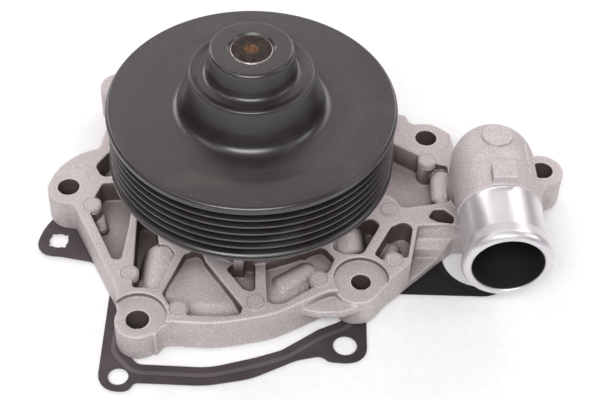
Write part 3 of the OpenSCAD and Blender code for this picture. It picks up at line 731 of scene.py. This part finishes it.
def pulley():
    """One-piece pulley: nose, dished shoulder, cone, disc and the ribbed belt face."""
    pitch, count, depth = 3.56, 6, 2.9
    first = disc_z - 4.7
    last = first - pitch * (count - 0.5)
    nose_r, lip_r, tip_r = 15.2, 22.9, pulley_r - 0.6
    cup_r, cup_top = 46.5, disc_z - 4
    hollow_r, hub_low = 12, disc_z + 2.2
    nose = [
        (shaft_r, hub_low), (shaft_r, nose_z - 0.7), (shaft_r + 0.25, nose_z - 0.5),
        (shaft_r + 0.8, nose_z, 0.3), (nose_r, nose_z, 1.4), (nose_r + 0.7, shoulder_z + 0.1, 3.2),
        (nose_r + 4.6, shoulder_z - 0.5, 2.0), (lip_r - 0.4, shoulder_z + 0.35, 0.9),
        (lip_r + 0.1, shoulder_z - 1.2, 1.2),
    ]
    disc = [
        (lip_r + 2.0, disc_z + 7.4, 20), (lip_r + 3.4, disc_z + 0.3, 8.5), (34.2, disc_z, 4),
        (36.2, disc_z - 0.12, 6), (38.6, disc_z - 0.12, 6), (41, disc_z, 6),
        (pulley_r, disc_z, 1.5), (pulley_r, first + pitch / 2 + 0.2, 0.5),
    ]
    belt = []
    for i in range(count):
        z = first - i * pitch
        belt += [
            (tip_r, z + pitch / 2 - 0.35, 0.22), (tip_r - depth, z + 0.45, 0.3),
            (tip_r - depth, z - 0.45, 0.3), (tip_r, z - pitch / 2 + 0.35, 0.22),
        ]
    rim = [
        (pulley_r, last - 0.1, 0.25), (pulley_r, last - 0.6), (pulley_r - 0.5, last - 0.75),
        (pulley_r - 0.5, last - 1.0), (pulley_r, last - 1.15), (pulley_r, rim_low_z, 0.7),
    ]
    cup = [(cup_r, rim_low_z, 0.7), (cup_r, cup_top, 4), (hollow_r, cup_top, 1), (hollow_r, hub_low, 1)]
    mesh = revolved("pulley_turned", rounded(nose + disc + belt + rim + cup), steps=360)
    obj = finish_object("pulley_turned", mesh, finishes["pulley_coating"], "rotor")
    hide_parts("pulley")


def shaft():
    """Ground shaft with its ball race, a rounded end and a centre hole."""
    low = shaft_low[2]
    race_z, race_depth, race_half = 40, 0.48, 1.59
    race = [
        (shaft_r - race_depth * math.cos(t * math.pi / 2), race_z + race_half * t)
        for t in (-1, -0.6, -0.3, 0, 0.3, 0.6, 1)
    ]
    end = [(shaft_r, shaft_top, 0.75), (1.5, shaft_top, 0.3), (1.0, shaft_top - 1.0), (0, shaft_top - 1.8)]
    mesh = revolved("shaft_ground", rounded([(0, low), (shaft_r, low, 0.8), *race, *end]), steps=128)
    obj = finish_object("shaft_ground", mesh, finishes["shaft_steel"], "rotor")
    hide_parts("pump_shaft")


cast_body()
ejector_discs()
casting_lines()
elbow_details()
hose_tube()
pulley()
shaft()


# ---- Floor, light and camera ------------------------------------------------


def floor():
    """White paper just below the gasket."""
    mesh = bpy.data.meshes.new("floor")
    half, level = 3.0, cad_box[0][2] - 0.8 * MM
    corners = [(-half, -half, level), (half, -half, level), (half, half, level), (-half, half, level)]
    mesh.from_pydata(corners, [], [(0, 1, 2, 3)])
    mesh.materials.append(floor_paper())
    obj = bpy.data.objects.new("floor", mesh)
    bpy.context.scene.collection.objects.link(obj)


def softbox(name, place, aim, width, height, watts, colour=(1, 1, 1)):
    """A rectangular light at a place in metres that faces another."""
    data = bpy.data.lights.new(name, "AREA")
    data.shape = "RECTANGLE"
    data.size, data.size_y = width, height
    data.energy = watts
    data.color = colour
    obj = bpy.data.objects.new(name, data)
    obj.location = place
    obj.rotation_euler = (Vector(aim) - Vector(place)).to_track_quat("-Z", "Y").to_euler()
    bpy.context.scene.collection.objects.link(obj)


def room():
    """Studio surround: dark at the height of the table, pale overhead."""
    world = bpy.data.worlds.new("room")
    bpy.context.scene.world = world
    world.use_nodes = True
    tree = world.node_tree
    background = tree.nodes["Background"]
    towards = tree.nodes.new("ShaderNodeTexCoord")
    split = tree.nodes.new("ShaderNodeSeparateXYZ")
    ramp = tree.nodes.new("ShaderNodeMapRange")
    for key, number in (("From Min", 0.05), ("From Max", 0.75), ("To Min", 0.06), ("To Max", 0.30)):
        ramp.inputs[key].default_value = number
    tree.links.new(towards.outputs["Generated"], split.inputs["Vector"])
    tree.links.new(split.outputs["Z"], ramp.inputs["Value"])
    tree.links.new(ramp.outputs["Result"], background.inputs["Strength"])
    background.inputs["Color"].default_value = (1.0, 0.975, 0.975, 1)


def camera():
    """The camera fitted to the photograph."""
    tilt = 43.233  # degrees up from straight down
    data = bpy.data.cameras.new("camera")
    data.lens = 84.81
    data.sensor_width = 36
    data.shift_x = 0.0872
    data.clip_start = 0.01
    obj = bpy.data.objects.new("camera", data)
    obj.location = (-0.001352, -0.381756, 0.4316)
    obj.rotation_euler = (math.radians(tilt), 0, 0)
    bpy.context.scene.collection.objects.link(obj)
    bpy.context.scene.camera = obj


floor()
room()
rose = (1.0, 0.93, 0.94)
softbox("front_box", (-0.1, -0.85, 1.0), (0, 0, 0.03), 0.9, 0.5, 14.5)
softbox("left_box", (-0.6, -0.1, 0.85), (0, 0, 0.03), 0.25, 0.6, 1)
softbox("right_box", (1.0, -0.1, 0.8), (0.03, 0, 0.03), 0.3, 0.6, 2)
softbox("back_box", (-0.05, 0.68, 0.66), (-0.02, 0, 0.03), 0.5, 0.6, 0.85, rose)
softbox("back_left_box", (-0.54, 0.63, 0.54), (0.03, 0, 0.03), 0.18, 0.6, 2.2, rose)
softbox("back_right_box", (0.52, 0.66, 0.52), (0.06, 0, 0.03), 0.32, 0.65, 2.0, (1.0, 0.95, 0.96))
softbox("sweep", (0, 1.1, 0.30), (0, 0, 0.03), 1.7, 0.3, 1.6)
camera()
bpy.context.scene.view_settings.view_transform = "Standard"
